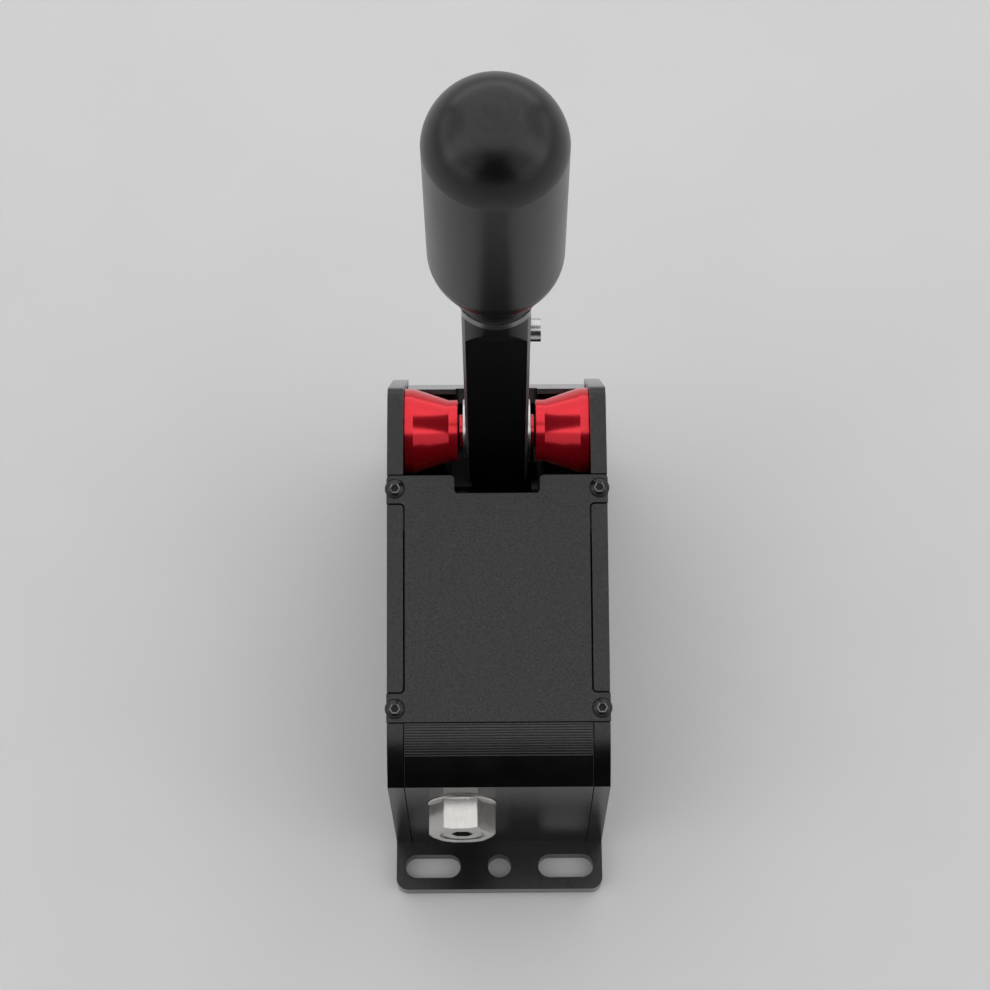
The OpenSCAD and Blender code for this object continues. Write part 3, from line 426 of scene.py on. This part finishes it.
# %% [markdown]
# ## Dressing a solid
# A machined piece never has a truly sharp edge: a file or a cutter breaks it, and that thin band is
# what draws the object's lines under studio light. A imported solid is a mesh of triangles, so we copy
# it, weld it, melt flat triangles back into whole faces and let a Bevel modifier round what is still
# sharp. The new piece then stands in for the solid. The bevel's faces take the second material.

# %% The dressing helper
WELD = 1e-6
FLAT = math.radians(0.3)


def clean_copy(node):
    mesh = solids[node].data.copy()
    mesh.name = node + "_mesh"
    work = bmesh.new()
    work.from_mesh(mesh)
    bmesh.ops.remove_doubles(work, verts=work.verts, dist=WELD)
    bmesh.ops.dissolve_limit(work, angle_limit=FLAT, verts=work.verts, edges=work.edges)
    work.to_mesh(mesh)
    work.free()
    if "custom_normal" in mesh.attributes:
        mesh.attributes.remove(mesh.attributes["custom_normal"])
    mesh.materials.clear()
    mesh.polygons.foreach_set("material_index", [0] * len(mesh.polygons))
    mesh.shade_smooth()
    return mesh


def dress(node, finish, edge_finish, edge, segments=2, angle=24):
    mesh = clean_copy(node)
    mesh.materials.append(finish)
    mesh.materials.append(edge_finish)
    piece = bpy.data.objects.new(node + "_dressed", mesh)
    scene.collection.objects.link(piece)
    bevel = piece.modifiers.new("broken_edges", "BEVEL")
    bevel.width = edge * MM
    bevel.segments = segments
    bevel.limit_method = "ANGLE"
    bevel.angle_limit = math.radians(angle)
    bevel.harden_normals = True
    bevel.material = 1
    bevel.miter_outer = "MITER_ARC"
    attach(piece, body_of_node[node])
    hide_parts(node)
    print(piece.name, "has", len(mesh.polygons), "faces before its edges are broken")
    return piece


# %% [markdown]
# Two more helpers work on a dressed piece. One gives some of its faces another finish, and the other
# rounds some of its edges by more than the modifier does. Both take a test that says which ones, so
# that faces and edges are picked by where they lie and not by number.


# %% Painting and rounding
def paint_faces(piece, finish, chosen):
    mesh = piece.data
    mesh.materials.append(finish)
    faces = [face for face in mesh.polygons if chosen(face)]
    for face in faces:
        face.material_index = len(mesh.materials) - 1
    print(piece.name, "has", len(faces), "faces in", finish.name)


ROUND_PROFILE = 0.5


def round_corners(piece, radius, chosen, segments=5, material=-1):
    work = bmesh.new()
    work.from_mesh(piece.data)
    corners = [edge for edge in work.edges if chosen(edge)]
    bmesh.ops.bevel(
        work,
        geom=corners,
        offset=radius * MM,
        offset_type="OFFSET",
        segments=segments,
        profile=ROUND_PROFILE,
        affect="EDGES",
        material=material,
    )
    work.to_mesh(piece.data)
    work.free()
    piece.data.shade_smooth()
    print(piece.name, "has", len(corners), "corners taken down by", radius, "mm")


def edge_middle(edge):
    return (edge.verts[0].co + edge.verts[1].co) / 2


def edge_along(edge, way):
    return abs((edge.verts[1].co - edge.verts[0].co).normalized().dot(way))


# %% [markdown]
# ## The box
# The base, side plates, nose and covers are blasted and anodised plates. The base's edges are broken
# by about a third of a millimetre and the others by less, and the paler edge finish on them is partly
# wear and partly a painted highlight. The nose carries twelve fine grooves, so its edges are broken
# only by a few hundredths, or the lands between the grooves would be lost. The cover's broken edge
# lies in the gap round it, so it is painted with the shade.

# %% Box pieces
box_edges = {
    "base_plate": 0.35,
    "left_side_plate": 0.15,
    "right_side_plate": 0.15,
    "nose_housing": 0.07,
    "top_cover": 0.2,
    "rear_cover": 0.25,
}
box = {}
for node, edge in box_edges.items():
    edge_finish = socket_shade if node == "top_cover" else edge_wear_and_highlight
    box[node] = dress(node, blasted_black, edge_finish, edge)

# %% [markdown]
# The rear slope and the base's end edges are milled after blasting: they are smoother, and shine when
# seen along them. The grooves in the brow are cut into its round, so their floors lie a few tenths of
# a millimetre inside its radius. They could be left to the light alone, but so narrow a groove fills
# with stray light in a render, so the floors are painted with the shade.

# %% Milled slopes, end edges and grooves
FACING = 0.99
UPRIGHT = 0.1
REAR_SLOPE = math.radians(62)
slope_out = Vector((0, math.sin(REAR_SLOPE), math.cos(REAR_SLOPE)))
BROW_R = 34.99 * MM
brow_middle = Vector((-40.2, 43.58)) * MM
GROOVE_LOW = 0.05 * MM
GROOVE_DEEP = 0.45 * MM
BASE_END = 0.075


def on_rear_slope(face):
    return face.normal.dot(slope_out) > FACING


def in_brow_groove(face):
    depth = BROW_R - (Vector(face.center.yz) - brow_middle).length
    return GROOVE_LOW < depth < GROOVE_DEEP and face.center.z > brow_middle.y + BROW_R / 2


def on_base_end(face):
    return abs(face.normal.z) < UPRIGHT and abs(face.center.y) > BASE_END


for node in ("left_side_plate", "right_side_plate", "rear_cover"):
    paint_faces(box[node], smooth_black, on_rear_slope)
paint_faces(box["base_plate"], smooth_black, on_base_end)
paint_faces(box["nose_housing"], socket_shade, in_brow_groove)

# %% [markdown]
# The cover lies between the side plates with a narrow gap all round, which reads as a black line. Its
# rear corners are rounded where it meets the pivot lugs. The walls of the gap and the ledge at its
# floor are painted with the shade, on four different pieces. To find them, we measure each face from
# the cover's front edge, up from the cover and along it.
# A dot product near 1 means that two directions agree, and one near 0 that they cross.

# %% The cover's gap and corners
COVER_SLOPE = math.radians(12.8)
cover_up = Vector((0, -math.sin(COVER_SLOPE), math.cos(COVER_SLOPE)))
cover_along = Vector((0, math.cos(COVER_SLOPE), math.sin(COVER_SLOPE)))
cover_front = Vector((0, -47.95, 77.7)) * MM
COVER_END = 73 * MM
CORNERS_FROM = 68 * MM
GAP_LOW = -4 * MM
GAP_HIGH = 0.5 * MM
LEDGE_TOP = -0.5 * MM
PLATE_OUT = 30.9 * MM
CORNER_R = 1.2
ALONG = 0.999
ACROSS = 0.3
LEVEL = 0.9
SQUARE_TURN = 1.2


def in_cover_gap(face):
    from_front = face.center - cover_front
    height = from_front.dot(cover_up)
    beside_cover = GAP_LOW < height < GAP_HIGH and -MM < from_front.dot(cover_along) < COVER_END
    upright = abs(face.normal.dot(cover_up)) < ACROSS and abs(face.center.x) < PLATE_OUT
    ledge = face.normal.dot(cover_up) > LEVEL and height < LEDGE_TOP
    return beside_cover and (upright or ledge)


def rear_corner(edge):
    through = edge_along(edge, cover_up) > ALONG
    square = through and edge.is_convex and edge.calc_face_angle(0) > SQUARE_TURN
    return square and (edge_middle(edge) - cover_front).dot(cover_along) > CORNERS_FROM


round_corners(box["top_cover"], CORNER_R, rear_corner)
for node in ("top_cover", "left_side_plate", "right_side_plate", "nose_housing"):
    paint_faces(box[node], socket_shade, in_cover_gap)

# %% [markdown]
# The screws are black-oxided steel, which is smoother and glossier than the plates. A button head's
# hex socket lies in shadow, so the faces inside it are painted with the shade, while the rim round it
# gets a painted highlight. The floors are the only six-sided faces that look up from the cover, so
# they
# lead us to the sockets: the rim is rounded there in the pale edge finish, and what lies inside it
# gets the shade.

# %% Cover screws
HEX_SIDES = 6
SOCKET_R = 1.15 * MM
RIM_HEIGHT = 0.5 * MM
RIM_WIDTH = 0.35
FLOOR_SLACK = 0.1 * MM
cover_screws = dress("cover_screws", oxide_black, edge_wear_and_highlight, edge=0.1)
socket_floors = [
    face.center.copy()
    for face in cover_screws.data.polygons
    if len(face.vertices) == HEX_SIDES and face.normal.dot(cover_up) > FACING
]


def from_socket(point):
    nearest = min(socket_floors, key=lambda floor_middle: (point - floor_middle).length)
    away = point - nearest
    height = away.dot(cover_up)
    return (away - height * cover_up).length, height


def on_socket_rim(edge):
    radius, height = from_socket(edge_middle(edge))
    return radius < SOCKET_R and height > RIM_HEIGHT and edge_along(edge, cover_up) < ACROSS


def in_socket(face):
    radius, height = from_socket(face.center)
    return radius < SOCKET_R and height > -FLOOR_SLACK


round_corners(cover_screws, RIM_WIDTH, on_socket_rim, segments=1, material=1)
paint_faces(cover_screws, socket_shade, in_socket)
print(len(socket_floors), "sockets shaded")

# %% Other screws
# their bevels get the paler edge finish: partly wear, partly a painted highlight
for node in ("side_screws", "base_screws", "axle_screws"):
    dress(node, oxide_black, edge_wear_and_highlight, edge=0.12)

# %% [markdown]
# ## Turned pieces
# The knob and the cones come off a lathe, and the natural way to make them is to spin a profile. That
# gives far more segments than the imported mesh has, so the outline stays round in a close view. A
# profile is a list of radius and height in millimetres, and arcs are filled in with short steps.

# %% Spinning a profile
ON_AXIS = 1e-6
SHARP = math.radians(4)


def arc_points(centre, radius, start, end, steps):
    angles = [math.radians(start + (end - start) * i / steps) for i in range(steps + 1)]
    return [(centre[0] + radius * math.cos(a), centre[1] + radius * math.sin(a)) for a in angles]


def spin(name, profile, place, axis, segments=160):
    work = bmesh.new()
    turns = [2 * math.pi * k / segments for k in range(segments)]
    rings = []
    for radius, height in profile:
        if radius < ON_AXIS:
            rings.append([work.verts.new((0, 0, height * MM))])
            continue
        circle = [(radius * math.cos(t) * MM, radius * math.sin(t) * MM) for t in turns]
        rings.append([work.verts.new((x, y, height * MM)) for x, y in circle])
    for low, high in zip(rings, rings[1:]):
        for k in range(segments):
            n = (k + 1) % segments
            if len(low) == 1:
                work.faces.new((low[0], high[n], high[k]))
            elif len(high) == 1:
                work.faces.new((low[k], low[n], high[0]))
            else:
                work.faces.new((low[k], low[n], high[n], high[k]))
    bmesh.ops.recalc_face_normals(work, faces=work.faces)
    mesh = bpy.data.meshes.new(name)
    work.to_mesh(mesh)
    work.free()
    mesh.shade_smooth()
    mesh.set_sharp_from_angle(angle=SHARP)
    piece = bpy.data.objects.new(name, mesh)
    piece.location = place
    piece.rotation_euler = Vector(axis).to_track_quat("Z", "Y").to_euler()
    scene.collection.objects.link(piece)
    print(name, "is turned from", len(profile), "points in", segments, "steps")
    return piece


# %% [markdown]
# The knob is a long cylinder with an almost half-round dome, drawn in below by a large radius to a
# short neck that stands on the lever's head. Its underside keeps the bore for the stud. The dome is
# part of a sphere, so its radius follows from the knob's radius and the dome's height, and the angles
# at which the arcs begin and end follow from where they meet the straight side and the neck.

# %% Knob
PIVOT = Vector((0, 0.0393, 0.079))
HEAD_TOP = 0.172
knob_r = 17.05
dome_h = 15.4
rim = 70.5
shoulder = 20.3
draw_in = 15.0
neck_r = 12.0
foot_r = 11.15
foot_edge = 0.3
bore_r = 5.03
bore_top = 30.5
side_rings = 12
neck_steps = 40
dome_steps = 48
dome_end = 89.5
dome_r = (knob_r**2 + dome_h**2) / (2 * dome_h)
dome_z = rim + dome_h - dome_r
rim_angle = math.degrees(math.asin((rim - dome_z) / dome_r))
neck_angle = math.degrees(math.acos((neck_r - knob_r + draw_in) / draw_in))
side_heights = [shoulder + (rim - shoulder) * i / side_rings for i in range(1, side_rings)]
knob_profile = [(0, bore_top), (bore_r, bore_top), (bore_r, 0.0)]
knob_profile += [(foot_r - foot_edge, 0.0), (foot_r, foot_edge)]
knob_profile += arc_points((knob_r - draw_in, shoulder), draw_in, -neck_angle, 0, neck_steps)
knob_profile += [(knob_r, height) for height in side_heights]
knob_profile += arc_points((0, dome_z), dome_r, rim_angle, dome_end, dome_steps)
knob_profile += [(0, rim + dome_h)]
knob = spin("knob_turned", knob_profile, (PIVOT.x, PIVOT.y, HEAD_TOP), (0, 0, 1), segments=192)
knob.data.materials.append(turned_black)
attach(knob, "lever")
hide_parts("knob")

# %% [markdown]
# Each cone spacer is a straight taper between two plain rings, with a small nose that runs up to the
# washer. A narrow groove parts the nose from the ring, and its floor is painted with the shade. The
# rings' edges are lightly broken, so that they show as thin bright lines. One profile serves both
# sides, spun outwards from the pivot.

# %% Cones
bore = 4.03
groove_r = 4.4
groove_low, groove_high = 10.7, 11.2
wall_skin = 0.01
shaded_from = 4.2
cone_profile = [(bore, 9.8), (4.75, 9.8), (4.85, 9.9), (4.85, groove_low)]
cone_profile += [(groove_r, groove_low), (groove_r, groove_high), (8.8, groove_high)]
cone_profile += [(8.95, 11.35), (8.95, 13.8), (12.25, 23.9), (12.25, 26.3)]
cone_profile += [(12.05, 26.5), (bore, 26.5), (bore, 9.8)]


def in_nose_groove(face):
    between = groove_low * MM < face.center.z < (groove_high - wall_skin) * MM
    return between and face.center.xy.length > shaded_from * MM


for side, node in ((-1, "left_pivot_cone"), (1, "right_pivot_cone")):
    cone = spin(node + "_turned", cone_profile, PIVOT, (side, 0, 0))
    cone.data.materials.append(red_anodised)
    paint_faces(cone, socket_shade, in_nose_groove)
    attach(cone, "frame")
    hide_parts(node)

# %% [markdown]
# ## Lever and adjuster
# The lever is milled from round bar, so its long corners are what is left of the round, and its head
# keeps the full round under the knob. The solid already has that shape, so it is only dressed: its
# long corners get the paler edge finish as a painted highlight along them. The chamfer round the head
# is cut bright, and its paler metal also paints the highlight that it catches.

# %% Lever
FLATS_END = 0.155
CORNER_TILT = 0.4
CHAMFER_LOW, CHAMFER_HIGH = 0.5, 0.9
lever = dress("lever_arm", milled_black, edge_wear_and_highlight, edge=0.2)


def long_corner(face):
    tilt_out = min(abs(face.normal.x), abs(face.normal.y))
    return tilt_out > CORNER_TILT and face.center.z < FLATS_END


def head_chamfer(face):
    return CHAMFER_LOW < face.normal.z < CHAMFER_HIGH and face.center.z > HEAD_TOP - MM


paint_faces(lever, edge_wear_and_highlight, long_corner)
paint_faces(lever, milled_edge_highlight, head_chamfer)
dress("lever_side_screw", turned_steel, turned_steel, edge=0.3, segments=3)
dress("thrust_washers", washer_steel, washer_steel, edge=0.12)

# %% [markdown]
# The adjuster is a stainless hex with its corners eased, and a thin collar behind it lies against the
# wall. The collar is a ring, so it is spun like the cones, and it turns with the adjuster. The lock
# screw in its end has a deep hex socket, which gets the shade so that it reads as a hole.

# %% Adjuster
HEX_FRONT = -0.0632
HEX_EASING = 0.5
HEX_TURN = 0.9
ADJUSTER_AXIS = Vector((-0.0105, -0.06425, 0.0517))
LOCK_SCREW_FRONT = -0.0731
LOCK_SOCKET_R = 3.1 * MM
adjuster = dress("adjuster", stainless, stainless, edge=0.15, segments=3, angle=14)


def hex_corner(edge):
    on_hex = edge_along(edge, Vector((0, 1, 0))) > ALONG and edge_middle(edge).y < HEX_FRONT
    return on_hex and edge.calc_face_angle(0) > HEX_TURN


def in_lock_socket(face):
    radius = (face.center - ADJUSTER_AXIS).xz.length
    return face.center.y > LOCK_SCREW_FRONT and radius < LOCK_SOCKET_R


round_corners(adjuster, HEX_EASING, hex_corner, segments=3)
collar_in, collar_r, collar_back, collar_front = 8.0, 9.75, -0.5, 0.55
collar_profile = [(collar_in, collar_back), (collar_r, collar_back), (collar_r, 0.2)]
collar_profile += [(9.4, collar_front), (collar_in, collar_front), (collar_in, collar_back)]
collar = spin("adjuster_collar", collar_profile, ADJUSTER_AXIS, (0, -1, 0))
collar.data.materials.append(stainless)
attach(collar, "adjuster")
lock_screw = dress("adjuster_lock_screw", stainless, stainless, edge=0.25, segments=3)
paint_faces(lock_screw, socket_shade, in_lock_socket)

# %% [markdown]
# ## Springs
# The solids' springs are six-sided tubes. Here they get a round wire with its ends closed up, in the
# same space. A spring reaches between two pieces that move. The front spring lies between the spring
# seat and the rod, and no joint joins those two. It is therefore wound as two lengths that meet at a
# place that stays still in the frame.

# %% Winding a wire
WIRE = 2.2
COIL_R = 7.5
CLOSED_TURNS = 0.8
CLOSED_PITCH = 0.45


def coil_rings(start, end, turns=5, steps=28):
    count = turns * steps
    rise = [0.0]
    for i in range(count):
        closed = min(i, count - i) / steps < CLOSED_TURNS
        rise.append(rise[-1] + (CLOSED_PITCH if closed else 1.0))
    length = end - start - WIRE
    heights = [start + WIRE / 2 + length * step / rise[-1] for step in rise]
    return [(2 * math.pi * i / steps, height) for i, height in enumerate(heights)]


def wound_wire(name, rings, axis_x, axis_z, sides=12):
    verts = []
    for turn, y in rings:
        for k in range(sides):
            a = 2 * math.pi * k / sides
            r = COIL_R + WIRE / 2 * math.cos(a)
            x = axis_x + r * math.cos(turn)
            z = axis_z + r * math.sin(turn)
            verts.append((x * MM, (y + WIRE / 2 * math.sin(a)) * MM, z * MM))
    last = len(rings) - 1
    faces = [tuple(range(sides - 1, -1, -1)), tuple(last * sides + k for k in range(sides))]
    for i in range(last):
        here, there = i * sides, (i + 1) * sides
        for k in range(sides):
            n = (k + 1) % sides
            faces.append((here + k, here + n, there + n, there + k))
    mesh = bpy.data.meshes.new(name)
    mesh.from_pydata(verts, [], faces)
    mesh.shade_smooth()
    mesh.materials.append(spring_wire)
    piece = bpy.data.objects.new(name, mesh)
    scene.collection.objects.link(piece)
    return piece


# %% Springs
FRONT_SPLIT = 0.45
rod_low, rod_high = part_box("rod_collar")
ROD_X = (rod_low[0] + rod_high[0]) / 2 / MM
ROD_Z = (rod_low[2] + rod_high[2]) / 2 / MM


def stretched_spring(name, node, rings, ends):
    piece = wound_wire(name, rings, ROD_X, ROD_Z)
    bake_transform(piece)
    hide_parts(node)
    print(name, "bends between", " and ".join(ends))


front_low, front_high = (corner[1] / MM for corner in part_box("front_spring"))
front_rings = coil_rings(front_low, front_high)
split_y = front_low + FRONT_SPLIT * (front_high - front_low)
split = min(range(len(front_rings)), key=lambda i: abs(front_rings[i][1] - split_y))
fore_rings, aft_rings = front_rings[: split + 1], front_rings[split:]
stretched_spring("front_spring_fore", "front_spring", fore_rings, ("seat", "frame"))
stretched_spring("front_spring_aft", "front_spring", aft_rings, ("frame", "rod"))
rear_low, rear_high = (corner[1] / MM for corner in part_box("rear_spring"))
rear_rings = coil_rings(rear_low, rear_high)
stretched_spring("rear_spring_wound", "rear_spring", rear_rings, ("rod", "frame"))

# %% [markdown]
# ## The data socket
# The socket in the rear cover is a black moulding. Six gold-plated spring contacts lie along the inner
# wall of its mouth. Each is a thin strip that rises from the wall at one end and dips back into it at
# the other, so we draw that curve once as places along the mouth and heights over the wall, and
# repeat it. Lengths are in millimetres.

# %% Socket and contacts
MOUTH_WALL = 15.96
MOUTH_MIDDLE = 25.6
CONTACT_PITCH = 1.02
CONTACT_WIDTH = 0.5
CONTACTS = 6
CONTACT_CURVE = [(51.0, 0.02), (51.6, 0.14), (54.0, 0.2), (58.0, 0.2), (60.2, 0.14), (60.8, 0.02)]


def contact_row(work, y, rise, z):
    inner, half = MOUTH_WALL + rise, CONTACT_WIDTH / 2
    corners = [(MOUTH_WALL, -half), (inner, -half), (inner, half), (MOUTH_WALL, half)]
    return [work.verts.new((x * MM, y * MM, (z + aside) * MM)) for x, aside in corners]


def socket_contacts():
    work = bmesh.new()
    for k in range(CONTACTS):
        z = MOUTH_MIDDLE + (k - (CONTACTS - 1) / 2) * CONTACT_PITCH
        rows = [contact_row(work, y, rise, z) for y, rise in CONTACT_CURVE]
        for a, b in zip(rows, rows[1:]):
            for i in range(len(a)):
                n = (i + 1) % len(a)
                work.faces.new((a[i], a[n], b[n], b[i]))
        work.faces.new(rows[0])
        work.faces.new(rows[-1][::-1])
    bmesh.ops.recalc_face_normals(work, faces=work.faces)
    mesh = bpy.data.meshes.new("socket_contacts")
    work.to_mesh(mesh)
    work.free()
    mesh.materials.append(gold)
    piece = bpy.data.objects.new("socket_contacts", mesh)
    scene.collection.objects.link(piece)
    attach(piece, "frame")
    print(CONTACTS, "contacts of", len(mesh.polygons) // CONTACTS, "faces")


dress("data_socket", moulded_black, moulded_black, edge=0.15)
socket_contacts()

# %% [markdown]
# ## Pieces that keep their solids
# What is left is inside the box, and its solids already have the right shape. Each only needs its
# finish in place of the plain colour that it came with. The pins, clip, centring rod, collar, seat and
# board screws get a dull black, and the board a nearly black lacquer: both are painted shade for the
# inside of the box, which lies in shadow.

# %% Finishes for the inner solids
inner_finish = {
    "pivot_axle": turned_steel,
    "guide_block": blasted_black,
    "rod_bush": bronze,
    "guide_rod": turned_steel,
    "front_bump_stop": rubber,
    "rear_bump_stop": rubber,
    "sensor_board": board_painted_shade,
    "board_standoffs": bronze,
    "board_screws": painted_shade_black,
    "hall_sensor": moulded_black,
    "knob_stud": turned_steel,
    "pivot_bearings": washer_steel,
    "link_pin": painted_shade_black,
    "link_clip": painted_shade_black,
    "magnet": washer_steel,
    "centring_rod": painted_shade_black,
    "rod_collar": painted_shade_black,
    "spring_seat": painted_shade_black,
}
for node, finish in inner_finish.items():
    solids[node].data.materials.clear()
    solids[node].data.materials.append(finish)
print(len(inner_finish), "inner solids finished")
